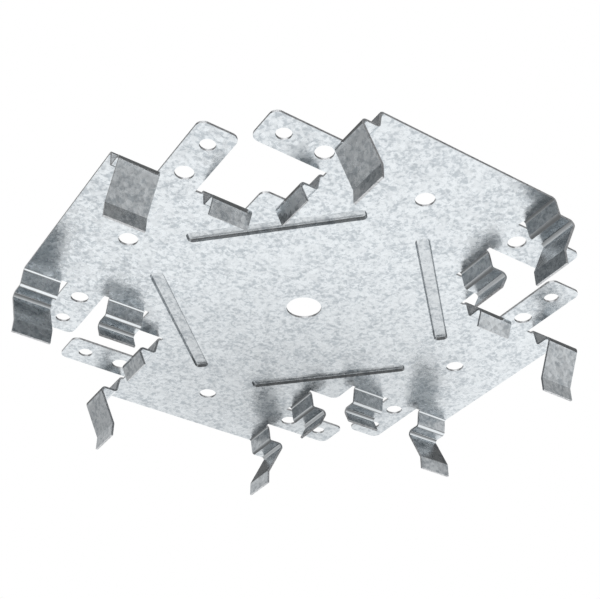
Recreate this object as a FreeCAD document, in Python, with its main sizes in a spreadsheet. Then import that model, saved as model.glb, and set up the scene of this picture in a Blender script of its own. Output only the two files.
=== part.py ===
"""Cross connector for ceiling profiles, folded from one sheet of galvanised steel.

The sheet is a flat cross. A square core carries four equal arms, and each arm
clips into the open top of a C-shaped ceiling profile. Along both sides of an arm
there are, from the core outwards, a short spring leg, a flat screw tab and a long
spring leg. Four pressed ribs brace the core between the arms.

Frame: +Z is up, the arms point along X and Y, and the origin is the middle of the
centre hole on the underside of the sheet, which is the face that lies on the profiles.
"""
import FreeCAD
import Part
import Sketcher
import math
import os

from enum import IntEnum
from FreeCAD import Vector

NODE = "cross_connector"

# Driving sizes in millimetres. A reach is measured from the axis of an arm,
# and a drop from the underside of the sheet.
SIZES = {
    "sheet_thickness": 0.6,
    "core_half": 32.3,
    "core_corner_radius": 2.0,
    # Across each arm
    "slit_reach": 23.6,
    "tab_reach": 43.7,
    # Along each arm, from the core outwards
    "core_slit": 1.2,
    "short_leg_width": 9.9,
    "tab_slit": 1.6,
    "tab_width": 10.0,
    "long_leg_width": 9.7,
    # Bend line of the legs, at the middle of the sheet. An overhang is measured from
    # the slit. The crest is given at the outer face, which grips the profile, and
    # bend radii at the inner face.
    "root_flat": 0.2,
    "neck_lean": 0.5,
    "shelf_drop": 4.3,
    "crest_overhang": 6.1,
    "short_leg_drop": 9.0,
    "kink_drop": 14.8,
    "tip_overhang": 1.4,
    "long_leg_drop": 18.3,
    "root_bend_radius": 0.6,
    "foot_bend_radius": 0.4,
    "crest_bend_radius": 0.7,
    "kink_bend_radius": 0.5,
    # Screw tabs, with a margin from the tip of a tab to its outer hole
    "tab_corner_radius": 2.0,
    "tab_hole_margin": 5.55,
    "tab_hole_spacing": 10.45,
    "tab_outer_hole_diameter": 3.7,
    "tab_inner_hole_diameter": 4.5,
    # Screw holes along the middle of the arms
    "arm_hole_diameter": 4.7,
    "centre_hole_diameter": 9.0,
    # Pressed ribs, which stand up from the sheet and are hollow below. The draft is the
    # lean of their walls in degrees, and the rises are taken off the height for the
    # round edges of the crown and of the hollow.
    "rib_distance": 33.0,
    "rib_length": 43.2,
    "rib_mouth_width": 3.6,
    "rib_mouth_corner_radius": 1.25,
    "rib_height": 0.85,
    "rib_draft": 30.0,
    "rib_crown_rise": 0.05,
    "rib_hollow_rise": 0.2,
}

ARM_COUNT = 4
FULL_TURN = 360.0
RIB_AZIMUTH = 45.0
LEVEL_TOLERANCE = 1e-4
LEAST_CUT_VOLUME = 1e-3
CUT_TYPE = "PartDesign::Pocket"

# Places along an arm, as expressions on the sheet of sizes
SHORT_LEG_START = "Sizes.core_half + Sizes.core_slit"
SHORT_LEG_END = f"{SHORT_LEG_START} + Sizes.short_leg_width"
TAB_START = f"{SHORT_LEG_END} + Sizes.tab_slit"
TAB_MIDDLE = f"{TAB_START} + Sizes.tab_width / 2"
TAB_END = f"{TAB_START} + Sizes.tab_width"
LONG_LEG_START = f"{TAB_END} + Sizes.tab_slit"
ARM_END = f"{LONG_LEG_START} + Sizes.long_leg_width"
# Places across an arm
TAB_OUTER_HOLE = "Sizes.tab_reach - Sizes.tab_hole_margin"
TAB_INNER_HOLE = f"{TAB_OUTER_HOLE} - Sizes.tab_hole_spacing"
CREST_REACH = "Sizes.slit_reach + Sizes.crest_overhang"
CREST_CENTRE = f"{CREST_REACH} - Sizes.crest_bend_radius - Sizes.sheet_thickness"
TIP_REACH = "Sizes.slit_reach + Sizes.tip_overhang"
HALF_SHEET = "Sizes.sheet_thickness / 2"
# Sides of a rib's mouth, from the centre outwards, and the heights and edges of the rib
RIB_INNER_SIDE = "Sizes.rib_distance - Sizes.rib_mouth_width / 2"
RIB_OUTER_SIDE = "Sizes.rib_distance + Sizes.rib_mouth_width / 2"
RIB_END = "Sizes.rib_length / 2"
RIB_TOP = "Sizes.sheet_thickness + Sizes.rib_height"
RIB_CROWN_RADIUS = "Sizes.rib_height - Sizes.rib_crown_rise"
RIB_HOLLOW_RADIUS = "Sizes.rib_height - Sizes.rib_hollow_rise"


class Spot(IntEnum):
    """Spots of a curve that a sketch relation can name."""

    START = 1
    END = 2
    CENTRE = 3


# The root point of a sketch, as a curve and a spot
ROOT = (-1, Spot.START)


def make_sizes(doc):
    """Fills the sheet of driving sizes, one aliased cell for each."""
    sheet = doc.addObject("Spreadsheet::Sheet", "Sizes")
    for row, (alias, value) in enumerate(SIZES.items(), start=1):
        sheet.set(f"A{row}", alias.replace("_", " "))
        sheet.set(f"B{row}", str(value))
        sheet.setAlias(f"B{row}", alias)
    doc.recompute()
    return sheet


def origin_feature(body, role):
    """Finds an origin plane or axis of a body by its role."""
    return next(item for item in body.Origin.OriginFeatures if item.Role == role)


def make_sketch(body, name, plane, offset="0"):
    """Puts an empty sketch on a plane, or at an offset along the plane's normal."""
    sketch = body.newObject("Sketcher::SketchObject", name)
    sketch.AttachmentSupport = [(plane, "")]
    sketch.MapMode = "FlatFace"
    sketch.setExpression("AttachmentOffset.Base.z", offset)
    return sketch


def number(owner, expression):
    """Works out an expression on the sheet of sizes."""
    return float(owner.evalExpression(expression))


def dimension(sketch, kind, references, expression):
    """Adds a dimension to a sketch and ties it to the sheet of sizes."""
    value = number(sketch, expression)
    index = sketch.addConstraint(Sketcher.Constraint(kind, *references, value))
    sketch.setExpression(f"Constraints[{index}]", expression)


def relate(sketch, kind, *references):
    """Adds a relation such as Tangent or Horizontal to a sketch."""
    sketch.addConstraint(Sketcher.Constraint(kind, *references))


def add_circle(sketch, across, along, diameter):
    """Draws a hole from expressions for its place and diameter."""
    middle = Vector(number(sketch, across), number(sketch, along), 0)
    radius = number(sketch, diameter) / 2
    circle = sketch.addGeometry(Part.Circle(middle, Vector(0, 0, 1), radius), False)
    dimension(sketch, "DistanceX", (*ROOT, circle, Spot.CENTRE), across)
    dimension(sketch, "DistanceY", (*ROOT, circle, Spot.CENTRE), along)
    dimension(sketch, "Diameter", (circle,), diameter)
    return circle


def add_bent_chain(sketch, corners, radii, closed=False):
    """Draws straight runs through corner points, with a tangent arc at each bend.

    corners are the sharp corners, and radii holds one radius for each bend, or
    None for a corner that stays sharp. Returns the runs and the arcs in order.
    """
    points = [Vector(*corner, 0) for corner in corners]
    last = len(points) - 1
    leaves, arrives, arcs = {}, {}, []
    bends = range(len(points)) if closed else range(1, last)
    for bend, radius in zip(bends, radii):
        corner = points[bend]
        back = (points[bend - 1] - corner).normalize()
        ahead = (points[(bend + 1) % len(points)] - corner).normalize()
        if radius is None:
            leaves[bend] = arrives[bend] = corner
            arcs.append(None)
            continue
        half_angle = back.getAngle(ahead) / 2
        setback = radius / math.tan(half_angle)
        arrives[bend] = corner + back * setback
        leaves[bend] = corner + ahead * setback
        inward = (back + ahead).normalize()
        middle = corner + inward * (radius / math.sin(half_angle) - radius)
        arc = Part.Arc(arrives[bend], middle, leaves[bend])
        arcs.append(sketch.addGeometry(arc, False))
    run_count = len(points) if closed else last
    runs = []
    for run in range(run_count):
        start = leaves.get(run, points[run])
        following = (run + 1) % len(points)
        end = arrives.get(following, points[following])
        runs.append(sketch.addGeometry(Part.LineSegment(start, end), False))
    for arc, bend in zip(arcs, bends):
        before = runs[bend - 1]
        after = runs[bend % run_count]
        join_bend(sketch, before, arc, after)
    return runs, arcs


def join_bend(sketch, before, arc, after):
    """Joins two runs at a sharp corner, or through a tangent arc."""
    if arc is None:
        relate(sketch, "Coincident", before, Spot.END, after, Spot.START)
        return
    for run, run_end in ((before, Spot.END), (after, Spot.START)):
        meeting = sketch.getPoint(run, run_end)
        at_start = (sketch.getPoint(arc, Spot.START) - meeting).Length < LEVEL_TOLERANCE
        relate(sketch, "Tangent", run, run_end, arc, Spot.START if at_start else Spot.END)


def add_rectangle(sketch, left, right, bottom, top, radius=None):
    """Draws a rectangle from expressions for its sides, with rounded corners if asked."""
    west, east = number(sketch, left), number(sketch, right)
    south, north = number(sketch, bottom), number(sketch, top)
    corners = [(west, south), (east, south), (east, north), (west, north)]
    rounding = None if radius is None else number(sketch, radius)
    runs, arcs = add_bent_chain(sketch, corners, [rounding] * len(corners), closed=True)
    for run, direction in zip(runs, ("Horizontal", "Vertical", "Horizontal", "Vertical")):
        relate(sketch, direction, run)
    dimension(sketch, "DistanceY", (*ROOT, runs[0], Spot.START), bottom)
    dimension(sketch, "DistanceX", (*ROOT, runs[1], Spot.START), right)
    dimension(sketch, "DistanceY", (*ROOT, runs[2], Spot.START), top)
    dimension(sketch, "DistanceX", (*ROOT, runs[3], Spot.START), left)
    if radius is not None:
        dimension(sketch, "Radius", (arcs[0],), radius)
        for arc in arcs[1:]:
            relate(sketch, "Equal", arcs[0], arc)


def add_pad(body, name, sketch, expression, lean="0"):
    """Raises a sketch into a solid of the given thickness, whose walls may lean inwards."""
    pad = body.newObject("PartDesign::Pad", name)
    pad.Profile = sketch
    pad.setExpression("Length", expression)
    pad.setExpression("TaperAngle", f"-({lean})")
    return pad


def add_cut(body, name, sketch, expression, lean="0"):
    """Cuts a sketch drawn on the underside upwards, with walls that may lean inwards."""
    cut = body.newObject("PartDesign::Pocket", name)
    cut.Profile = sketch
    cut.Reversed = True
    cut.setExpression("Length", expression)
    cut.setExpression("TaperAngle", f"-({lean})")
    return cut


def add_arm_pattern(body, name, originals):
    """Repeats features once for each arm, about the vertical axis."""
    pattern = body.newObject("PartDesign::PolarPattern", name)
    pattern.Originals = originals
    pattern.Axis = (origin_feature(body, "Z_Axis"), [""])
    pattern.Angle = FULL_TURN
    pattern.Occurrences = ARM_COUNT
    body.Tip = pattern
    return pattern


def make_core(body):
    """Makes the square middle of the sheet, whose corners stand between the arms."""
    sketch = make_sketch(body, "core_outline", origin_feature(body, "XY_Plane"))
    half = "Sizes.core_half"
    add_rectangle(sketch, f"-{half}", half, f"-{half}", half, "Sizes.core_corner_radius")
    return add_pad(body, "core", sketch, "Sizes.sheet_thickness")


def make_half_arm(body):
    """Makes one side of an arm with its flat screw tab and the tab's two holes."""
    sketch = make_sketch(body, "half_arm_outline", origin_feature(body, "XY_Plane"))
    tab_start, tab_end = number(sketch, TAB_START), number(sketch, TAB_END)
    arm_end = number(sketch, ARM_END)
    slit, reach = number(sketch, "Sizes.slit_reach"), number(sketch, "Sizes.tab_reach")
    rounding = number(sketch, "Sizes.tab_corner_radius")
    corners = [
        (0, 0), (arm_end, 0), (arm_end, slit), (tab_end, slit), (tab_end, reach),
        (tab_start, reach), (tab_start, slit), (0, slit),
    ]
    radii = [None, None, None, None, rounding, rounding, None, None]
    runs, arcs = add_bent_chain(sketch, corners, radii, closed=True)
    axis, arm_tip, outer_edge, tab_outer, tab_tip, tab_inner, inner_edge, middle = runs
    for run in (axis, outer_edge, tab_tip, inner_edge):
        relate(sketch, "Horizontal", run)
    for run in (arm_tip, tab_outer, tab_inner, middle):
        relate(sketch, "Vertical", run)
    relate(sketch, "Coincident", axis, Spot.START, *ROOT)
    relate(sketch, "Equal", arcs[4], arcs[5])
    dimension(sketch, "Radius", (arcs[4],), "Sizes.tab_corner_radius")
    dimension(sketch, "DistanceX", (*ROOT, arm_tip, Spot.START), ARM_END)
    dimension(sketch, "DistanceX", (*ROOT, tab_outer, Spot.START), TAB_END)
    dimension(sketch, "DistanceX", (*ROOT, tab_inner, Spot.END), TAB_START)
    dimension(sketch, "DistanceY", (*ROOT, outer_edge, Spot.START), "Sizes.slit_reach")
    dimension(sketch, "DistanceY", (*ROOT, inner_edge, Spot.END), "Sizes.slit_reach")
    dimension(sketch, "DistanceY", (*ROOT, tab_tip, Spot.START), "Sizes.tab_reach")
    add_circle(sketch, TAB_MIDDLE, TAB_OUTER_HOLE, "Sizes.tab_outer_hole_diameter")
    add_circle(sketch, TAB_MIDDLE, TAB_INNER_HOLE, "Sizes.tab_inner_hole_diameter")
    return add_pad(body, "half_arm", sketch, "Sizes.sheet_thickness")


def make_bend_line(body):
    """Draws the line at mid sheet that a leg follows from the arm to its tip.

    The flap is drawn as two runs, and the short leg stops where they meet.
    """
    sketch = make_sketch(body, "leg_bend_line", origin_feature(body, "YZ_Plane"))
    size = {alias: number(sketch, f"Sizes.{alias}") for alias in SIZES}
    half_sheet = size["sheet_thickness"] / 2
    bend_names = ("root", "foot", "crest", "kink")
    root, foot, crest, kink = [size[f"{bend}_bend_radius"] + half_sheet for bend in bend_names]
    neck_top = size["slit_reach"] + size["root_flat"] + root
    crest_place, tip_place = number(sketch, CREST_REACH), number(sketch, TIP_REACH)
    flap_top = Vector(crest_place, -size["shelf_drop"], 0)
    flap_foot = Vector(tip_place, -size["kink_drop"], 0)
    short_share = (size["short_leg_drop"] - size["shelf_drop"]) / (flap_top.y - flap_foot.y)
    short_end = flap_top + (flap_foot - flap_top) * short_share
    corners = [
        (size["slit_reach"], half_sheet),
        (neck_top, half_sheet),
        (neck_top + size["neck_lean"], -size["shelf_drop"]),
        (flap_top.x, flap_top.y),
        (short_end.x, short_end.y),
        (flap_foot.x, flap_foot.y),
        (tip_place, -size["long_leg_drop"]),
    ]
    runs, arcs = add_bent_chain(sketch, corners, [root, foot, crest, None, kink])
    stub, neck, shelf, upper_flap, lower_flap, tip = runs
    root_arc, foot_arc, crest_arc, _, kink_arc = arcs
    relate(sketch, "Horizontal", stub)
    relate(sketch, "Horizontal", shelf)
    relate(sketch, "Parallel", upper_flap, lower_flap)
    relate(sketch, "Vertical", tip)
    for bend, arc in zip(bend_names, (root_arc, foot_arc, crest_arc, kink_arc)):
        dimension(sketch, "Radius", (arc,), f"Sizes.{bend}_bend_radius + {HALF_SHEET}")
    dimension(sketch, "DistanceX", (*ROOT, stub, Spot.START), "Sizes.slit_reach")
    dimension(sketch, "DistanceY", (*ROOT, stub, Spot.START), HALF_SHEET)
    dimension(sketch, "DistanceX", (stub, Spot.START, stub, Spot.END), "Sizes.root_flat")
    dimension(sketch, "DistanceX", (neck, Spot.START, neck, Spot.END), "Sizes.neck_lean")
    dimension(sketch, "DistanceY", (shelf, Spot.START, *ROOT), "Sizes.shelf_drop")
    dimension(sketch, "DistanceX", (*ROOT, crest_arc, Spot.CENTRE), CREST_CENTRE)
    dimension(sketch, "DistanceY", (upper_flap, Spot.END, *ROOT), "Sizes.short_leg_drop")
    dimension(sketch, "DistanceX", (*ROOT, tip, Spot.END), TIP_REACH)
    dimension(sketch, "DistanceY", (tip, Spot.START, *ROOT), "Sizes.kink_drop")
    dimension(sketch, "DistanceY", (tip, Spot.END, *ROOT), "Sizes.long_leg_drop")
    body.Document.recompute()
    return sketch


def make_leg(body, name, bend_line, start, end):
    """Folds one leg: a strip of the sheet between two places along the arm.

    The strip follows the bend line down to the leg's own drop.
    """
    lowest = -number(body, f"Sizes.{name}_drop") - LEVEL_TOLERANCE
    edges = enumerate(bend_line.Shape.Edges, start=1)
    route = [f"Edge{index}" for index, edge in edges if edge.BoundBox.ZMin > lowest]
    arm_plane = origin_feature(body, "XZ_Plane")
    section = make_sketch(body, f"{name}_section", arm_plane, "-Sizes.slit_reach")
    add_rectangle(section, start, end, "0", "Sizes.sheet_thickness")
    leg = body.newObject("PartDesign::AdditivePipe", name)
    leg.Profile = section
    leg.Spine = (bend_line, route)
    return leg


def repeat_eightfold(body, name, originals):
    """Mirrors features across an arm's axis, and repeats both sides four times."""
    mirror = body.Document.addObject("PartDesign::Mirrored", f"{name}_mirror")
    mirror.MirrorPlane = (origin_feature(body, "XZ_Plane"), [""])
    turns = body.Document.addObject("PartDesign::PolarPattern", f"{name}_turns")
    turns.Axis = (origin_feature(body, "Z_Axis"), [""])
    turns.Angle = FULL_TURN
    turns.Occurrences = ARM_COUNT
    pattern = body.newObject("PartDesign::MultiTransform", name)
    pattern.Originals = originals
    pattern.Transformations = [mirror, turns]
    body.Tip = pattern
    return pattern


def make_screw_holes(body):
    """Punches the centre hole, and one hole in the middle of each arm."""
    centre_sketch = make_sketch(body, "centre_hole_outline", origin_feature(body, "XY_Plane"))
    add_circle(centre_sketch, "0", "0", "Sizes.centre_hole_diameter")
    add_cut(body, "centre_hole", centre_sketch, "Sizes.sheet_thickness")
    arm_sketch = make_sketch(body, "arm_hole_outline", origin_feature(body, "XY_Plane"))
    add_circle(arm_sketch, TAB_MIDDLE, "0", "Sizes.arm_hole_diameter")
    arm_hole = add_cut(body, "arm_hole", arm_sketch, "Sizes.sheet_thickness")
    return add_arm_pattern(body, "arm_holes", [arm_hole])


def make_rib_plane(body):
    """Lays a plane on the underside of the sheet, turned to the diagonal between two arms."""
    plane = body.newObject("PartDesign::Plane", "rib_plane")
    plane.AttachmentSupport = [(origin_feature(body, "XY_Plane"), "")]
    plane.MapMode = "FlatFace"
    turn = FreeCAD.Rotation(Vector(0, 0, 1), RIB_AZIMUTH)
    plane.AttachmentOffset = FreeCAD.Placement(Vector(), turn)
    return plane


def make_rib_outline(body, name, plane, margin):
    """Draws a rib's mouth as a rounded rectangle, wider all round by a margin."""
    sketch = make_sketch(body, name, plane)
    add_rectangle(
        sketch,
        f"{RIB_INNER_SIDE} - {margin}",
        f"{RIB_OUTER_SIDE} + {margin}",
        f"-{RIB_END} - {margin}",
        f"{RIB_END} + {margin}",
        f"Sizes.rib_mouth_corner_radius + {margin}",
    )
    return sketch


def round_level_faces(body, name, level, radius):
    """Rounds all edges of the level faces that lie at one height."""
    base = body.Tip
    body.Document.recompute()
    height = number(body, level)
    faces = []
    for index, face in enumerate(base.Shape.Faces, start=1):
        box = face.BoundBox
        if max(abs(box.ZMin - height), abs(box.ZMax - height)) < LEVEL_TOLERANCE:
            faces.append(f"Face{index}")
    fillet = body.newObject("PartDesign::Fillet", name)
    fillet.Base = (base, faces)
    fillet.setExpression("Radius", radius)
    body.Tip = fillet
    return fillet


def make_ribs(body):
    """Presses the four ribs: round-edged ridges on top and hollows in the underside."""
    plane = make_rib_plane(body)
    ridge_outline = make_rib_outline(body, "ridge_outline", plane, "Sizes.sheet_thickness")
    ridge = add_pad(body, "ridge", ridge_outline, RIB_TOP, "Sizes.rib_draft")
    add_arm_pattern(body, "ridges", [ridge])
    round_level_faces(body, "ridge_crowns", RIB_TOP, RIB_CROWN_RADIUS)
    hollow_outline = make_rib_outline(body, "hollow_outline", plane, "0")
    hollow = add_cut(body, "hollow", hollow_outline, "Sizes.rib_height", "Sizes.rib_draft")
    add_arm_pattern(body, "hollows", [hollow])
    round_level_faces(body, "hollow_crowns", "Sizes.rib_height", RIB_HOLLOW_RADIUS)


def build():
    """Builds the whole connector and returns its document and body."""
    doc = FreeCAD.newDocument("CrossConnector")
    make_sizes(doc)
    body = doc.addObject("PartDesign::Body", NODE)
    body.Label = NODE
    make_core(body)
    half_arm = make_half_arm(body)
    bend_line = make_bend_line(body)
    long_leg = make_leg(body, "long_leg", bend_line, LONG_LEG_START, ARM_END)
    short_leg = make_leg(body, "short_leg", bend_line, SHORT_LEG_START, SHORT_LEG_END)
    repeat_eightfold(body, "half_arms", [half_arm, long_leg, short_leg])
    make_screw_holes(body)
    make_ribs(body)
    doc.recompute()
    return doc, body


def check(doc, body):
    """Stops the build if any object failed, or if the body isn't one sound solid."""
    for item in doc.Objects:
        if "Invalid" in item.State or "Error" in item.State:
            raise RuntimeError(f"{item.Label} failed: {item.State}")
    if body.Shape.isNull() or not body.Shape.isValid() or len(body.Shape.Solids) != 1:
        raise RuntimeError(f"{body.Label} isn't one sound solid")
    for cut in [item for item in body.Group if item.TypeId == CUT_TYPE]:
        if cut.BaseFeature.Shape.Volume - cut.Shape.Volume < LEAST_CUT_VOLUME:
            raise RuntimeError(f"{cut.Label} takes nothing away")


if __name__ == "__main__":
    document, connector = build()
    check(document, connector)
    os.makedirs("parts", exist_ok=True)
    connector.Shape.exportStep(f"parts/{connector.Label}.step")
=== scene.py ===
"""Looks of the cross connector: one folded sheet of galvanised steel in a plain pale studio."""
import logging
import math
from dataclasses import dataclass
from enum import Enum
from typing import Any

import bpy
from mathutils import Euler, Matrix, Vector


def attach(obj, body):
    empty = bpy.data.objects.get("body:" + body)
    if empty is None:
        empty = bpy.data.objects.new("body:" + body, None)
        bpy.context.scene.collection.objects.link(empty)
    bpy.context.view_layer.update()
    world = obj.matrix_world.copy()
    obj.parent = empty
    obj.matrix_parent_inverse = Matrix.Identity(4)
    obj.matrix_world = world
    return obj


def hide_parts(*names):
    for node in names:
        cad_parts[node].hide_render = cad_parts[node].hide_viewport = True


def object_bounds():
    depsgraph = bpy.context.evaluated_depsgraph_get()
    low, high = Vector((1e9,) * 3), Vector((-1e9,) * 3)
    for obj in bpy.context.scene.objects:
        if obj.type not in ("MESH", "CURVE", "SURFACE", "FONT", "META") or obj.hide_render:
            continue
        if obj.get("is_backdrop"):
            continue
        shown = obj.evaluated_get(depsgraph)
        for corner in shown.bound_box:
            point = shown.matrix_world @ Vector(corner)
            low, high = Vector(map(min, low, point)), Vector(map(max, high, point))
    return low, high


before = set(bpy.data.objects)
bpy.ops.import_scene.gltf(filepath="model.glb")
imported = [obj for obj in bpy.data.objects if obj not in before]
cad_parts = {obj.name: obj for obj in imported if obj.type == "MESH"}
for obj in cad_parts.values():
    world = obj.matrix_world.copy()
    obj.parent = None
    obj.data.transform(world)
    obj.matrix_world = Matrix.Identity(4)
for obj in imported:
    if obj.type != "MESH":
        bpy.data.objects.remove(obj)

LOG = logging.getLogger("cross_connector")
MILLIMETRE = 0.001
BEND_MASK = "bend_mask"
BEND_FACING = "bend_facing"
DOWN = (0.0, 0.0, -1.0)


class Ray(Enum):
    """Kinds of ray that see the white background, by their Light Path output."""

    CAMERA = "Is Camera Ray"
    GLOSSY = "Is Glossy Ray"
    TRANSMISSION = "Is Transmission Ray"


class Socket(Enum):
    """Socket types of the node groups."""

    GEOMETRY = "NodeSocketGeometry"
    MATERIAL = "NodeSocketMaterial"
    NUMBER = "NodeSocketFloat"
    VECTOR = "NodeSocketVector"


class Board:
    """A node tree with short calls for adding and joining nodes."""

    def __init__(self, tree: bpy.types.NodeTree) -> None:
        """Takes over a tree and clears it.

        Args:
            tree: The node tree to build in.
        """
        self.tree = tree
        self.tree.nodes.clear()

    def add(self, kind: str, **settings: Any) -> bpy.types.Node:
        """Adds a node and sets its properties.

        Args:
            kind: The node's type name.
            **settings: Properties of the node, by name.

        Returns:
            The new node.
        """
        node = self.tree.nodes.new(kind)
        for name, value in settings.items():
            setattr(node, name, value)
        return node

    def feed(self, target: bpy.types.NodeSocket, source: Any) -> None:
        """Joins a socket to another, or sets it to a plain value.

        Args:
            target: The input socket.
            source: An output socket, or a value for the input.
        """
        if isinstance(source, bpy.types.NodeSocket):
            self.tree.links.new(source, target)
        else:
            target.default_value = source

    def math(self, operation: str, *values: Any, clamp: bool = False) -> bpy.types.NodeSocket:
        """Adds a Math node.

        Args:
            operation: The Math operation.
            *values: Its inputs, as sockets or numbers.
            clamp: Whether the result stays between 0 and 1.

        Returns:
            The result's socket.
        """
        node = self.add("ShaderNodeMath", operation=operation, use_clamp=clamp)
        for target, value in zip(node.inputs, values):
            self.feed(target, value)
        return node.outputs["Value"]

    def spread(self, value: bpy.types.NodeSocket, low: float, high: float,
               to_low: float = 0.0, to_high: float = 1.0) -> bpy.types.NodeSocket:
        """Maps one range of a value smoothly to another.

        Args:
            value: The value to map.
            low: Lower end of the range that is read.
            high: Upper end of the range that is read.
            to_low: What the lower end becomes.
            to_high: What the upper end becomes.

        Returns:
            The mapped value's socket.
        """
        node = self.add("ShaderNodeMapRange", interpolation_type="SMOOTHSTEP")
        for name, source in (("Value", value), ("From Min", low), ("From Max", high),
                             ("To Min", to_low), ("To Max", to_high)):
            self.feed(node.inputs[name], source)
        return node.outputs["Result"]

    def blend(self, share: bpy.types.NodeSocket, first: tuple[float, float, float],
              second: tuple[float, float, float]) -> bpy.types.NodeSocket:
        """Mixes two colours by a share that changes over the surface.

        Args:
            share: How much of the second colour shows.
            first: The colour at a share of 0.
            second: The colour at a share of 1.

        Returns:
            The mixed colour's socket.
        """
        node = self.add("ShaderNodeMix", data_type="RGBA")
        self.feed(node.inputs["Factor"], share)
        self.feed(node.inputs["A"], (*first, 1.0))
        self.feed(node.inputs["B"], (*second, 1.0))
        return node.outputs["Result"]

    def darken(self, colour: bpy.types.NodeSocket,
               share: bpy.types.NodeSocket) -> bpy.types.NodeSocket:
        """Mixes a colour with black by a share that changes over the surface.

        Args:
            colour: The colour to darken.
            share: How much of the black shows.

        Returns:
            The darker colour's socket.
        """
        node = self.add("ShaderNodeMix", data_type="RGBA")
        self.feed(node.inputs["Factor"], share)
        self.feed(node.inputs["A"], colour)
        self.feed(node.inputs["B"], (0.0, 0.0, 0.0, 1.0))
        return node.outputs["Result"]

    def turn(self, normal: bpy.types.NodeSocket, facing: Any,
             share: bpy.types.NodeSocket) -> bpy.types.NodeSocket:
        """Turns a normal towards another direction by a share that changes over the surface.

        Args:
            normal: The normal to turn.
            facing: The direction it turns to, as a socket or three numbers.
            share: How far it turns, from 0 to 1.

        Returns:
            The turned normal's socket.
        """
        mix = self.add("ShaderNodeMix", data_type="VECTOR")
        self.feed(mix.inputs["Factor"], share)
        self.feed(mix.inputs["A"], normal)
        self.feed(mix.inputs["B"], facing)
        unit = self.add("ShaderNodeVectorMath", operation="NORMALIZE")
        self.feed(unit.inputs[0], mix.outputs["Result"])
        return unit.outputs["Vector"]


def add_group(name: str, kind: str, inputs: dict[str, Socket], outputs: dict[str, Socket]) -> Board:
    """Makes an empty node group with named sockets.

    Args:
        name: The group's name.
        kind: The tree's type name.
        inputs: Socket types by name, in order.
        outputs: Socket types by name, in order.

    Returns:
        A board on the group's tree.
    """
    tree = bpy.data.node_groups.new(name, kind)
    for label, socket in inputs.items():
        tree.interface.new_socket(label, in_out="INPUT", socket_type=socket.value)
    for label, socket in outputs.items():
        tree.interface.new_socket(label, in_out="OUTPUT", socket_type=socket.value)
    return Board(tree)


@dataclass(frozen=True)
class Grain:
    """One layer of cloudy noise in the mottling: its size input, and the span of it that shows."""

    size: str
    detail: float
    low: float
    high: float
    weight: float


@dataclass(frozen=True)
class Mottling:
    """The mottling of a zinc coat: crystals under a film of frost, in soft clouds."""

    name: str = "zinc_mottling"
    patches: Grain = Grain(size="Crystal Size", detail=2.0, low=0.3, high=0.7, weight=0.45)
    frost: Grain = Grain(size="Frost Size", detail=1.0, low=0.25, high=0.75, weight=0.15)
    clouds: Grain = Grain(size="Cloud Size", detail=4.0, low=0.3, high=0.7, weight=0.3)
    grain_roughness: float = 0.55
    grain_warp: float = 0.6
    crystal_blur: float = 0.35
    crystal_weight: float = 0.3
    dull_share: float = 0.5
    frost_height: float = 0.4

    def group(self) -> bpy.types.NodeTree:
        """Makes the shader group once, and gives the same one after that.

        Returns:
            A shader group that puts out a tone, a dullness and a height.
        """
        if self.name in bpy.data.node_groups:
            return bpy.data.node_groups[self.name]
        inputs = {"Place": Socket.VECTOR, "Crystal Size": Socket.NUMBER,
                  "Frost Size": Socket.NUMBER, "Cloud Size": Socket.NUMBER}
        outputs = {"Tone": Socket.NUMBER, "Dullness": Socket.NUMBER, "Height": Socket.NUMBER}
        board = add_group(self.name, "ShaderNodeTree", inputs, outputs)
        given = board.add("NodeGroupInput").outputs
        patches, frost, clouds = [self.noise(board, given, grain)
                                  for grain in (self.patches, self.frost, self.clouds)]
        crystals = board.add("ShaderNodeTexVoronoi", feature="SMOOTH_F1")
        board.feed(crystals.inputs["Vector"], given["Place"])
        board.feed(crystals.inputs["Scale"], board.math("DIVIDE", 1.0, given["Crystal Size"]))
        board.feed(crystals.inputs["Smoothness"], self.crystal_blur)
        crystal_tone = board.add("ShaderNodeSeparateColor")
        board.feed(crystal_tone.inputs["Color"], crystals.outputs["Color"])
        fine = board.math("ADD", self.weigh(board, patches, self.patches),
                          board.math("MULTIPLY", crystal_tone.outputs["Red"], self.crystal_weight))
        coarse = board.math("ADD", self.weigh(board, frost, self.frost),
                            self.weigh(board, clouds, self.clouds))
        dull_crystals = board.math("MULTIPLY", crystal_tone.outputs["Green"], self.dull_share)
        dull_clouds = board.math("MULTIPLY", clouds, 1.0 - self.dull_share)
        height = board.math("ADD", crystals.outputs["Distance"],
                            board.math("MULTIPLY", frost, self.frost_height))
        taken = board.add("NodeGroupOutput").inputs
        board.feed(taken["Tone"], board.math("ADD", fine, coarse))
        board.feed(taken["Dullness"], board.math("ADD", dull_crystals, dull_clouds))
        board.feed(taken["Height"], height)
        return board.tree

    def noise(self, board: Board, given: Any, grain: Grain) -> bpy.types.NodeSocket:
        """Adds one layer of cloudy noise.

        Args:
            board: The group's board.
            given: The group's inputs, by name.
            grain: The layer.

        Returns:
            The noise's socket.
        """
        noise = board.add("ShaderNodeTexNoise")
        board.feed(noise.inputs["Vector"], given["Place"])
        board.feed(noise.inputs["Scale"], board.math("DIVIDE", 1.0, given[grain.size]))
        board.feed(noise.inputs["Detail"], grain.detail)
        board.feed(noise.inputs["Roughness"], self.grain_roughness)
        board.feed(noise.inputs["Distortion"], self.grain_warp)
        return noise.outputs["Fac"]

    @staticmethod
    def weigh(board: Board, value: bpy.types.NodeSocket, grain: Grain) -> bpy.types.NodeSocket:
        """Spreads a layer's span and multiplies it by the layer's weight.

        Args:
            board: The group's board.
            value: The layer's noise.
            grain: The layer.

        Returns:
            The weighted value's socket.
        """
        return board.math("MULTIPLY", board.spread(value, grain.low, grain.high), grain.weight)


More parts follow.
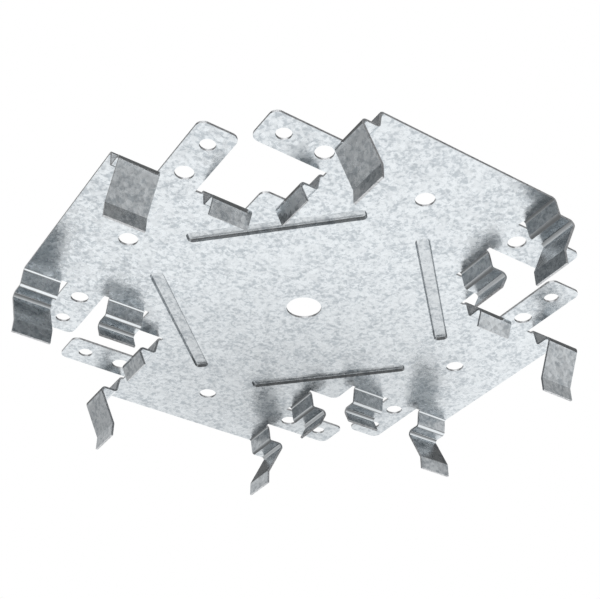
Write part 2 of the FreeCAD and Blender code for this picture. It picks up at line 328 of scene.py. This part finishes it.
@dataclass(frozen=True)
class PaintedShade:
    """Painted shade on the coat: a soft darker patch of the plate, and the legs darker below a
    level.

    Places and sizes are in millimetres.
    """

    patch_place: tuple[float, float, float] = (18.0, 38.0, 0.0)
    patch_radius: float = 75.0
    patch_share: float = 0.25
    leg_level: float = -5.6
    leg_fade: float = 1.2
    leg_share: float = 0.2

    def share(self, board: Board, place: bpy.types.NodeSocket) -> bpy.types.NodeSocket:
        """Works out how much painted shade darkens the coat.

        Args:
            board: The material's board.
            place: The place on the object.

        Returns:
            The socket of the share of black.
        """
        # Painted shade: the plate darkens towards a soft patch around this place.
        distance = board.add("ShaderNodeVectorMath", operation="DISTANCE")
        board.feed(distance.inputs[0], place)
        board.feed(distance.inputs[1], [value * MILLIMETRE for value in self.patch_place])
        patch = board.spread(distance.outputs["Value"], 0.0, self.patch_radius * MILLIMETRE,
                             self.patch_share, 0.0)
        # Painted shade: the legs darken below the given level.
        axes = board.add("ShaderNodeSeparateXYZ")
        board.feed(axes.inputs["Vector"], place)
        legs = board.spread(axes.outputs["Z"], (self.leg_level - self.leg_fade) * MILLIMETRE,
                            self.leg_level * MILLIMETRE, self.leg_share, 0.0)
        return board.math("MAXIMUM", patch, legs)


@dataclass(frozen=True)
class RibHollow:
    """How the walls of the ribs' hollows curve into their floors, and how much painted shade
    darkens the hollows.

    Heights are in millimetres.
    """

    mouth_height: float = 0.15
    steep_height: float = 0.4
    floor_height: float = 0.85
    curve_share: float = 0.8
    # Share of black painted into the hollows as shade.
    dull_share: float = 0.14
    level_limit: float = -0.2

    def share(self, board: Board, place: bpy.types.NodeSocket, low: float, high: float,
              most: float) -> bpy.types.NodeSocket:
        """Works out a share that grows with the height in the hollows and is 0 elsewhere.

        Args:
            board: The material's board.
            place: The place on the object.
            low: Height up to which the share is 0.
            high: Height from which the share stays the same.
            most: The share there.

        Returns:
            The share's socket.
        """
        axes = board.add("ShaderNodeSeparateXYZ")
        board.feed(axes.inputs["Vector"], place)
        facing = board.add("ShaderNodeSeparateXYZ")
        board.feed(facing.inputs["Vector"], board.add("ShaderNodeNewGeometry").outputs["Normal"])
        is_under = board.math("LESS_THAN", facing.outputs["Z"], self.level_limit)
        rise = board.spread(axes.outputs["Z"], low * MILLIMETRE, high * MILLIMETRE, 0.0, most)
        return board.math("MULTIPLY", rise, is_under)

    def curve(self, board: Board, place: bpy.types.NodeSocket,
              normal: bpy.types.NodeSocket) -> bpy.types.NodeSocket:
        """Turns the normals of the hollows' walls downwards, the more so the nearer to the floor.

        Args:
            board: The material's board.
            place: The place on the object.
            normal: The normal to turn.

        Returns:
            The turned normal's socket.
        """
        share = self.share(board, place, self.steep_height, self.floor_height, self.curve_share)
        return board.turn(normal, DOWN, share)

    def paint_shade(self, board: Board, place: bpy.types.NodeSocket,
             colour: bpy.types.NodeSocket) -> bpy.types.NodeSocket:
        """Paints shade into the hollows by darkening the coat there.

        Args:
            board: The material's board.
            place: The place on the object.
            colour: The coat's colour.

        Returns:
            The darker colour's socket.
        """
        share = self.share(board, place, 0.0, self.mouth_height, self.dull_share)
        return board.darken(colour, share)


@dataclass(frozen=True)
class MetalFinish:
    """A metal surface whose tone, dullness and relief follow the mottling of zinc.

    Sizes of the mottling and the depth of its relief are in millimetres. The span of the mottling
    from low to high becomes the span from dark to bright and from smoothest to roughest.
    """

    name: str
    dark: tuple[float, float, float]
    bright: tuple[float, float, float]
    smoothest: float
    roughest: float
    relief: float
    crystal_size: float
    frost_size: float
    cloud_size: float
    relief_depth: float = 0.05
    low: float = 0.2
    high: float = 0.8
    # The bends' colour goes bright, partly polish and partly a painted highlight, and their
    # roughness drops.
    bend_polish_and_highlight: float = 0.0
    bend_flatness: float = 0.0
    bend_roughness: float = 0.35
    # Painted shade on the plate and the legs.
    painted_shade: PaintedShade | None = None
    ribs: RibHollow | None = None

    def material(self) -> bpy.types.Material:
        """Makes the finish's material.

        Returns:
            The material.
        """
        material = bpy.data.materials.new(self.name)
        material.use_nodes = True
        board = Board(material.node_tree)
        place = board.add("ShaderNodeTexCoord").outputs["Object"]
        mottling = board.add("ShaderNodeGroup", node_tree=Mottling().group())
        board.feed(mottling.inputs["Place"], place)
        for label, size in (("Crystal Size", self.crystal_size), ("Frost Size", self.frost_size),
                            ("Cloud Size", self.cloud_size)):
            board.feed(mottling.inputs[label], size * MILLIMETRE)
        bump = board.add("ShaderNodeBump")
        board.feed(bump.inputs["Strength"], self.relief)
        board.feed(bump.inputs["Distance"], self.relief_depth * MILLIMETRE)
        board.feed(bump.inputs["Height"], mottling.outputs["Height"])
        normal = bump.outputs["Normal"]
        metal = board.add("ShaderNodeBsdfPrincipled")
        board.feed(metal.inputs["Metallic"], 1.0)
        tone = board.spread(mottling.outputs["Tone"], self.low, self.high)
        roughness = board.spread(mottling.outputs["Dullness"], self.low, self.high,
                                 self.smoothest, self.roughest)
        # On the bends the colour goes to the bright end, partly polish and partly a painted
        # highlight; the roughness drops and the normals turn flatter.
        if self.bend_polish_and_highlight:
            bend = board.add("ShaderNodeAttribute", attribute_name=BEND_MASK).outputs["Fac"]
            polish_and_highlight = board.math("MULTIPLY", bend, self.bend_polish_and_highlight)
            tone = board.math("MAXIMUM", tone, polish_and_highlight)
            roughness = board.math("MULTIPLY", roughness,
                                   board.spread(polish_and_highlight, 0.0, 1.0, 1.0, self.bend_roughness))
            facing = board.add("ShaderNodeAttribute", attribute_name=BEND_FACING).outputs["Vector"]
            normal = board.turn(normal, facing, board.math("MULTIPLY", bend, self.bend_flatness))
        colour = board.blend(tone, self.dark, self.bright)
        if self.ribs:
            normal = self.ribs.curve(board, place, normal)
            # Painted shade darkens the ribs' hollows.
            colour = self.ribs.paint_shade(board, place, colour)
        # Painted shade darkens a patch of the plate and the legs below a level.
        if self.painted_shade:
            colour = board.darken(colour, self.painted_shade.share(board, place))
        board.feed(metal.inputs["Base Color"], colour)
        board.feed(metal.inputs["Roughness"], roughness)
        board.feed(metal.inputs["Normal"], normal)
        output = board.add("ShaderNodeOutputMaterial")
        board.feed(output.inputs["Surface"], metal.outputs["BSDF"])
        return material


@dataclass(frozen=True)
class FloorFinish:
    """A pale floor that is seen from above only, and fades into the white background."""

    name: str = "pale_floor"
    colour: tuple[float, float, float] = (0.9, 0.9, 0.9)
    full_radius: float = 0.25
    faded_radius: float = 1.2

    def material(self) -> bpy.types.Material:
        """Makes the floor's material.

        Returns:
            The material.
        """
        material = bpy.data.materials.new(self.name)
        material.use_nodes = True
        board = Board(material.node_tree)
        place = board.add("ShaderNodeTexCoord").outputs["Object"]
        length = board.add("ShaderNodeVectorMath", operation="LENGTH")
        board.feed(length.inputs[0], place)
        fade = board.spread(length.outputs["Value"], self.full_radius, self.faded_radius)
        below = board.add("ShaderNodeNewGeometry").outputs["Backfacing"]
        matt = board.add("ShaderNodeBsdfDiffuse")
        board.feed(matt.inputs["Color"], (*self.colour, 1.0))
        clear = board.add("ShaderNodeBsdfTransparent")
        mix = board.add("ShaderNodeMixShader")
        board.feed(mix.inputs["Fac"], board.math("MAXIMUM", fade, below))
        board.feed(mix.inputs[1], matt.outputs["BSDF"])
        board.feed(mix.inputs[2], clear.outputs["BSDF"])
        output = board.add("ShaderNodeOutputMaterial")
        board.feed(output.inputs["Surface"], mix.outputs["Shader"])
        return material


ZINC = MetalFinish(
    name="galvanised_zinc", dark=(0.565, 0.613, 0.65), bright=(0.88, 0.922, 0.95),
    smoothest=0.20, roughest=0.36, relief=0.35,
    crystal_size=1.05, frost_size=0.35, cloud_size=5.0,
    # The bends get a bright colour, partly polish and partly a painted highlight; the plate, the
    # legs and the rib hollows get painted shade.
    bend_polish_and_highlight=1.0, bend_flatness=0.75, painted_shade=PaintedShade(), ribs=RibHollow(),
)
SHEARED = MetalFinish(
    name="sheared_steel_edge", dark=(0.44, 0.45, 0.465), bright=(0.74, 0.755, 0.77),
    smoothest=0.30, roughest=0.45, relief=0.6,
    crystal_size=0.5, frost_size=0.2, cloud_size=4.0,
)


DRESSER_INPUTS = {
    "Sheet": Socket.GEOMETRY,
    "Sheet Thickness": Socket.NUMBER,
    "Weld Distance": Socket.NUMBER,
    "Probe Inset": Socket.NUMBER,
    "Probe Slack": Socket.NUMBER,
    "Crease Angle": Socket.NUMBER,
    "Facet Angle": Socket.NUMBER,
    "Leg Start": Socket.NUMBER,
    "Leg Side": Socket.NUMBER,
    "Coat": Socket.MATERIAL,
    "Cut Edge": Socket.MATERIAL,
}


@dataclass
class SheetDresser:
    """A Geometry Nodes tree that welds the sheet and tells its coated faces from its cut edges.

    A face is coated where the opposite face lies one sheet thickness behind it. A face of a leg
    belongs to a bend where it meets its neighbours at a small angle.
    """

    thickness: float = 0.6 * MILLIMETRE
    weld: float = 0.001 * MILLIMETRE
    inset: float = 0.01 * MILLIMETRE
    slack: float = 1.6
    crease: float = math.radians(30.0)
    facet: float = math.radians(6.5)
    facet_share: float = 0.1
    rim_share: float = 0.5
    rim_slack: float = 0.25
    leg_start: float = 23.6 * MILLIMETRE
    leg_side: float = 33.0 * MILLIMETRE

    def tree(self) -> bpy.types.NodeTree:
        """Builds the tree.

        Returns:
            The Geometry Nodes tree.
        """
        outputs = {"Sheet": Socket.GEOMETRY}
        board = add_group("dress_sheet", "GeometryNodeTree", DRESSER_INPUTS, outputs)
        given = board.add("NodeGroupInput").outputs
        weld = board.add("GeometryNodeMergeByDistance")
        board.feed(weld.inputs["Geometry"], given["Sheet"])
        board.feed(weld.inputs["Distance"], given["Weld Distance"])
        sheet = weld.outputs["Geometry"]
        normal = board.add("GeometryNodeInputNormal").outputs["Normal"]
        angle = board.add("GeometryNodeInputMeshEdgeAngle").outputs["Unsigned Angle"]
        is_cut = self.cut_edges(board, given, sheet, normal)
        sheet = self.smooth(board, given, sheet, angle)
        bends = self.bends(board, given, angle)
        sheet = self.store(board, sheet, BEND_MASK, "FLOAT", bends)
        facing = self.bend_facing(board, normal)
        sheet = self.store(board, sheet, BEND_FACING, "FLOAT_VECTOR", facing)
        whole = board.add("GeometryNodeRealizeInstances")
        board.feed(whole.inputs["Geometry"], sheet)
        coat = board.add("GeometryNodeSetMaterial")
        board.feed(coat.inputs["Geometry"], whole.outputs["Geometry"])
        board.feed(coat.inputs["Material"], given["Coat"])
        edge = board.add("GeometryNodeSetMaterial")
        board.feed(edge.inputs["Geometry"], coat.outputs["Geometry"])
        board.feed(edge.inputs["Selection"], is_cut)
        board.feed(edge.inputs["Material"], given["Cut Edge"])
        board.feed(board.add("NodeGroupOutput").inputs["Sheet"], edge.outputs["Geometry"])
        return board.tree

    @staticmethod
    def cut_edges(board: Board, given: Any, sheet: bpy.types.NodeSocket,
                  normal: bpy.types.NodeSocket) -> bpy.types.NodeSocket:
        """Finds the faces with no opposite face close behind them.

        Args:
            board: The tree's board.
            given: The tree's inputs, by name.
            sheet: The welded sheet.
            normal: The normal of each face.

        Returns:
            A socket that is true on the cut edges.
        """
        inward = board.add("ShaderNodeVectorMath", operation="SCALE")
        board.feed(inward.inputs[0], normal)
        board.feed(inward.inputs["Scale"], -1.0)
        start = board.add("ShaderNodeVectorMath", operation="MULTIPLY_ADD")
        board.feed(start.inputs[0], inward.outputs["Vector"])
        board.feed(start.inputs[1], given["Probe Inset"])
        board.feed(start.inputs[2], board.add("GeometryNodeInputPosition").outputs["Position"])
        probe = board.add("GeometryNodeRaycast")
        board.feed(probe.inputs["Target Geometry"], sheet)
        board.feed(probe.inputs["Source Position"], start.outputs["Vector"])
        board.feed(probe.inputs["Ray Direction"], inward.outputs["Vector"])
        board.feed(probe.inputs["Ray Length"],
                   board.math("MULTIPLY", given["Sheet Thickness"], given["Probe Slack"]))
        is_cut = board.add("FunctionNodeBooleanMath", operation="NOT")
        board.feed(is_cut.inputs[0], probe.outputs["Is Hit"])
        return is_cut.outputs["Boolean"]

    @staticmethod
    def smooth(board: Board, given: Any, sheet: bpy.types.NodeSocket,
               angle: bpy.types.NodeSocket) -> bpy.types.NodeSocket:
        """Shades the sheet smooth but for its creases.

        Args:
            board: The tree's board.
            given: The tree's inputs, by name.
            sheet: The welded sheet.
            angle: The angle between the two faces at each edge.

        Returns:
            The shaded sheet's socket.
        """
        smooth = board.add("GeometryNodeSetShadeSmooth")
        board.feed(smooth.inputs["Geometry"], sheet)
        is_crease = board.add("FunctionNodeCompare", operation="GREATER_THAN")
        board.feed(is_crease.inputs["A"], angle)
        board.feed(is_crease.inputs["B"], given["Crease Angle"])
        creased = board.add("GeometryNodeSetShadeSmooth", domain="EDGE")
        board.feed(creased.inputs["Geometry"], smooth.outputs["Geometry"])
        board.feed(creased.inputs["Selection"], is_crease.outputs["Result"])
        board.feed(creased.inputs["Shade Smooth"], False)
        return creased.outputs["Geometry"]

    @staticmethod
    def store(board: Board, sheet: bpy.types.NodeSocket, name: str, kind: str,
              value: bpy.types.NodeSocket) -> bpy.types.NodeSocket:
        """Stores a value on each face of the sheet.

        Args:
            board: The tree's board.
            sheet: The sheet.
            name: The attribute's name.
            kind: The attribute's data type.
            value: What is stored.

        Returns:
            The sheet's socket, with the attribute.
        """
        node = board.add("GeometryNodeStoreNamedAttribute", domain="FACE", data_type=kind)
        board.feed(node.inputs["Geometry"], sheet)
        board.feed(node.inputs["Name"], name)
        board.feed(node.inputs["Value"], value)
        return node.outputs["Geometry"]

    def bends(self, board: Board, given: Any, angle: bpy.types.NodeSocket) -> bpy.types.NodeSocket:
        """Finds the facets of the legs' bends.

        Args:
            board: The tree's board.
            given: The tree's inputs, by name.
            angle: The angle between the two faces at each edge.

        Returns:
            A socket that is 1 on the bends and 0 elsewhere.
        """
        is_facet = board.math("MULTIPLY", board.math("GREATER_THAN", angle, given["Facet Angle"]),
                              board.math("LESS_THAN", angle, given["Crease Angle"]))
        facets = board.add("GeometryNodeFieldOnDomain", domain="EDGE", data_type="FLOAT")
        board.feed(facets.inputs["Value"], is_facet)
        is_bend = board.math("GREATER_THAN", facets.outputs["Value"], self.facet_share)
        return board.math("MULTIPLY", self.on_legs(board, given), is_bend)

    @staticmethod
    def on_legs(board: Board, given: Any) -> bpy.types.NodeSocket:
        """Finds the faces of the legs, which lie beyond the slits and beside the core.

        Args:
            board: The tree's board.
            given: The tree's inputs, by name.

        Returns:
            A socket that is 1 on the legs and 0 elsewhere.
        """
        position = board.add("GeometryNodeInputPosition").outputs["Position"]
        place = board.add("ShaderNodeSeparateXYZ")
        board.feed(place.inputs["Vector"], position)
        reach = [board.math("ABSOLUTE", place.outputs[axis]) for axis in "XY"]
        beyond = board.math("GREATER_THAN", board.math("MINIMUM", *reach), given["Leg Start"])
        beside = board.math("GREATER_THAN", board.math("MAXIMUM", *reach), given["Leg Side"])
        return board.math("MULTIPLY", beyond, beside)

    def bend_facing(self, board: Board, normal: bpy.types.NodeSocket) -> bpy.types.NodeSocket:
        """Finds the mean direction that the facets of a bend face.

        Args:
            board: The tree's board.
            normal: The normal of each face.

        Returns:
            The direction's socket.
        """
        is_bend = board.add("GeometryNodeInputNamedAttribute", data_type="FLOAT")
        board.feed(is_bend.inputs["Name"], BEND_MASK)
        bends = board.add("GeometryNodeEdgesToFaceGroups")
        is_rim = board.math("COMPARE", is_bend.outputs["Attribute"], self.rim_share, self.rim_slack)
        board.feed(bends.inputs["Boundary Edges"], is_rim)
        area = board.add("GeometryNodeInputMeshFaceArea").outputs["Area"]
        weighed = board.add("ShaderNodeVectorMath", operation="SCALE")
        board.feed(weighed.inputs[0], normal)
        board.feed(weighed.inputs["Scale"], area)
        total = board.add("GeometryNodeAccumulateField", domain="FACE", data_type="FLOAT_VECTOR")
        board.feed(total.inputs["Value"], weighed.outputs["Vector"])
        board.feed(total.inputs["Group ID"], bends.outputs["Face Group ID"])
        # Areas in square metres are tiny, so their sums grow before they become unit vectors.
        larger = board.add("ShaderNodeVectorMath", operation="SCALE")
        board.feed(larger.inputs[0], total.outputs["Total"])
        board.feed(larger.inputs["Scale"], 1.0 / MILLIMETRE ** 2)
        unit = board.add("ShaderNodeVectorMath", operation="NORMALIZE")
        board.feed(unit.inputs[0], larger.outputs["Vector"])
        return unit.outputs["Vector"]

    def put_on(self, piece: bpy.types.Object, coat: bpy.types.Material,
               cut_edge: bpy.types.Material) -> None:
        """Adds the tree to a piece as a modifier and sets its inputs.

        Args:
            piece: The sheet's object.
            coat: Material of the coated faces.
            cut_edge: Material of the cut edges.
        """
        modifier = piece.modifiers.new("dress_sheet", "NODES")
        modifier.node_group = self.tree()
        values = {"Sheet Thickness": self.thickness, "Weld Distance": self.weld,
                  "Probe Inset": self.inset, "Probe Slack": self.slack,
                  "Crease Angle": self.crease, "Facet Angle": self.facet,
                  "Leg Start": self.leg_start, "Leg Side": self.leg_side,
                  "Coat": coat, "Cut Edge": cut_edge}
        for item in modifier.node_group.interface.items_tree:
            if item.in_out == "INPUT" and item.name in values:
                modifier[item.identifier] = values[item.name]


@dataclass
class ConnectorSheet:
    """The folded sheet: plate, tabs, legs and ribs in one piece of steel."""

    name: str = "connector_sheet"
    node: str = "cross_connector"
    body: str = "root"
    slot: str = "galvanised_steel"

    def build(self) -> bpy.types.Object:
        """Copies the sheet's solid, welds it and tells its coated faces from its cut edges.

        Returns:
            The finished piece.
        """
        piece = bpy.data.objects.new(self.name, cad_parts[self.node].data.copy())
        bpy.context.scene.collection.objects.link(piece)
        piece.data.materials.clear()
        SheetDresser().put_on(piece, ZINC.material(), SHEARED.material())
        shading = piece.modifiers.new("flat_faces_first", "WEIGHTED_NORMAL")
        shading.keep_sharp = True
        self.settle(piece)
        return piece

    def settle(self, piece: bpy.types.Object) -> None:
        """Turns the piece's modifiers into a plain mesh.

        Args:
            piece: The piece to settle.
        """
        graph = bpy.context.evaluated_depsgraph_get()
        mesh = bpy.data.meshes.new_from_object(piece.evaluated_get(graph))
        piece.modifiers.clear()
        piece.data = mesh
        mesh.name = self.name

    def dress(self, piece: bpy.types.Object) -> None:
        """Lets the piece stand for the solid.

        Args:
            piece: The finished piece.
        """
        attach(piece, self.body)
        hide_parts(self.node)


@dataclass(frozen=True)
class Glow:
    """A soft bright patch of the studio around the object.

    Angles are in degrees, and a higher sharpness makes the patch smaller.
    """

    azimuth: float
    elevation: float
    strength: float
    sharpness: float

    def direction(self) -> Vector:
        """Works out where the patch is.

        Returns:
            The unit vector towards it.
        """
        azimuth, elevation = math.radians(self.azimuth), math.radians(self.elevation)
        level = math.cos(elevation)
        return Vector((level * math.cos(azimuth), level * math.sin(azimuth), math.sin(elevation)))


@dataclass
class Studio:
    """Pale floor, soft light and the photograph's camera.

    The patches of light stand where the plate, the bends and the legs mirror them to the camera.
    """

    dimmest: float = 0.13
    ambient: float = 0.45
    glows: tuple[Glow, ...] = (
        Glow(azimuth=48.0, elevation=-40.0, strength=2.0, sharpness=10.0),
        Glow(azimuth=-61.0, elevation=-58.0, strength=2.0, sharpness=120.0),
        Glow(azimuth=-35.0, elevation=-46.5, strength=2.0, sharpness=120.0),
        Glow(azimuth=-60.0, elevation=-4.0, strength=0.9, sharpness=17.0),
        Glow(azimuth=131.0, elevation=-26.5, strength=0.5, sharpness=100.0),
        Glow(azimuth=52.0, elevation=2.0, strength=1.6, sharpness=25.0),
        Glow(azimuth=138.0, elevation=2.0, strength=0.45, sharpness=10.0),
        Glow(azimuth=-50.0, elevation=29.0, strength=0.5, sharpness=30.0),
        Glow(azimuth=120.0, elevation=30.0, strength=0.53, sharpness=30.0),
        Glow(azimuth=225.0, elevation=25.0, strength=0.45, sharpness=5.0),
    )
    lamp_place: tuple[float, float, float] = (-0.34, -0.34, 0.8)
    lamp_size: float = 1.0
    lamp_power: float = 2.6
    floor_half: float = 3.0
    camera_place: tuple[float, float, float] = (-0.1293829, -0.1958483, -0.1712223)
    camera_turn: tuple[float, float, float] = (126.5329, -0.1350, -33.3009)
    camera_lens: float = 67.8175
    camera_nearest: float = 0.01

    def build(self, floor_level: float) -> list[bpy.types.Object]:
        """Sets up the floor, the light and the camera.

        Args:
            floor_level: Height of the floor in metres.

        Returns:
            The floor, the lamp and the camera.
        """
        self.light_world()
        return [self.add_floor(floor_level), self.add_lamp(), self.add_camera()]

    def light_world(self) -> None:
        """Makes the world: white to look at, soft patches to reflect, and an even ambient light."""
        world = bpy.data.worlds.new("studio")
        world.use_nodes = True
        bpy.context.scene.world = world
        board = Board(world.node_tree)
        direction = board.add("ShaderNodeTexCoord").outputs["Generated"]
        level: Any = self.dimmest
        for glow in self.glows:
            facing = board.add("ShaderNodeVectorMath", operation="DOT_PRODUCT")
            board.feed(facing.inputs[0], direction)
            board.feed(facing.inputs[1], glow.direction())
            near = board.math("MAXIMUM", facing.outputs["Value"], 0.0)
            patch = board.math("MULTIPLY", board.math("POWER", near, glow.sharpness), glow.strength)
            level = board.math("ADD", level, patch)
        seen = board.add("ShaderNodeLightPath").outputs
        mirrored = board.math("MAXIMUM", seen[Ray.GLOSSY.value], seen[Ray.TRANSMISSION.value])
        shown = board.math("MAXIMUM", mirrored, seen[Ray.CAMERA.value])
        backdrop = board.add("ShaderNodeBackground")
        board.feed(backdrop.inputs["Strength"],
                   board.math("MAXIMUM", level, seen[Ray.CAMERA.value], clamp=True))
        light = board.add("ShaderNodeBackground")
        board.feed(light.inputs["Strength"], self.ambient)
        for shader in (backdrop, light):
            board.feed(shader.inputs["Color"], (1.0, 1.0, 1.0, 1.0))
        mix = board.add("ShaderNodeMixShader")
        board.feed(mix.inputs["Fac"], shown)
        board.feed(mix.inputs[1], light.outputs["Background"])
        board.feed(mix.inputs[2], backdrop.outputs["Background"])
        output = board.add("ShaderNodeOutputWorld")
        board.feed(output.inputs["Surface"], mix.outputs["Shader"])

    def add_floor(self, level: float) -> bpy.types.Object:
        """Lays the floor under the tips of the legs.

        Args:
            level: Height of the floor in metres.

        Returns:
            The floor.
        """
        half = self.floor_half
        mesh = bpy.data.meshes.new("floor")
        corners = [(-half, -half, level), (half, -half, level),
                   (half, half, level), (-half, half, level)]
        mesh.from_pydata(corners, [], [(0, 1, 2, 3)])
        floor = bpy.data.objects.new("floor", mesh)
        bpy.context.scene.collection.objects.link(floor)
        mesh.materials.append(FloorFinish().material())
        floor.visible_glossy = False
        floor.visible_transmission = False
        floor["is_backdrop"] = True
        return floor

    def add_lamp(self) -> bpy.types.Object:
        """Hangs a soft square lamp over the object.

        Returns:
            The lamp.
        """
        light = bpy.data.lights.new("soft_lamp", "AREA")
        light.size = self.lamp_size
        light.energy = self.lamp_power
        lamp = bpy.data.objects.new("soft_lamp", light)
        lamp.location = self.lamp_place
        lamp.rotation_euler = (-Vector(self.lamp_place)).to_track_quat("-Z", "Y").to_euler()
        bpy.context.scene.collection.objects.link(lamp)
        return lamp

    def add_camera(self) -> bpy.types.Object:
        """Sets the camera where the photograph was taken from.

        Returns:
            The camera.
        """
        data = bpy.data.cameras.new("photo_camera")
        data.sensor_fit = "HORIZONTAL"
        data.lens = self.camera_lens
        data.clip_start = self.camera_nearest
        camera = bpy.data.objects.new("photo_camera", data)
        camera.location = self.camera_place
        camera.rotation_euler = Euler([math.radians(angle) for angle in self.camera_turn])
        bpy.context.scene.collection.objects.link(camera)
        bpy.context.scene.camera = camera
        return camera


def main() -> None:
    """Builds the sheet and the studio in order."""
    logging.basicConfig(level=logging.INFO, format="%(name)s: %(message)s")
    cad_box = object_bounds()
    bpy.context.scene.view_settings.view_transform = "Standard"
    sheet = ConnectorSheet()
    piece = sheet.build()
    sheet.dress(piece)
    LOG.info("%s has %d faces", piece.name, len(piece.data.polygons))
    for item in Studio().build(cad_box[0].z):
        LOG.info("%s is in place", item.name)


if __name__ == "__main__":
    main()
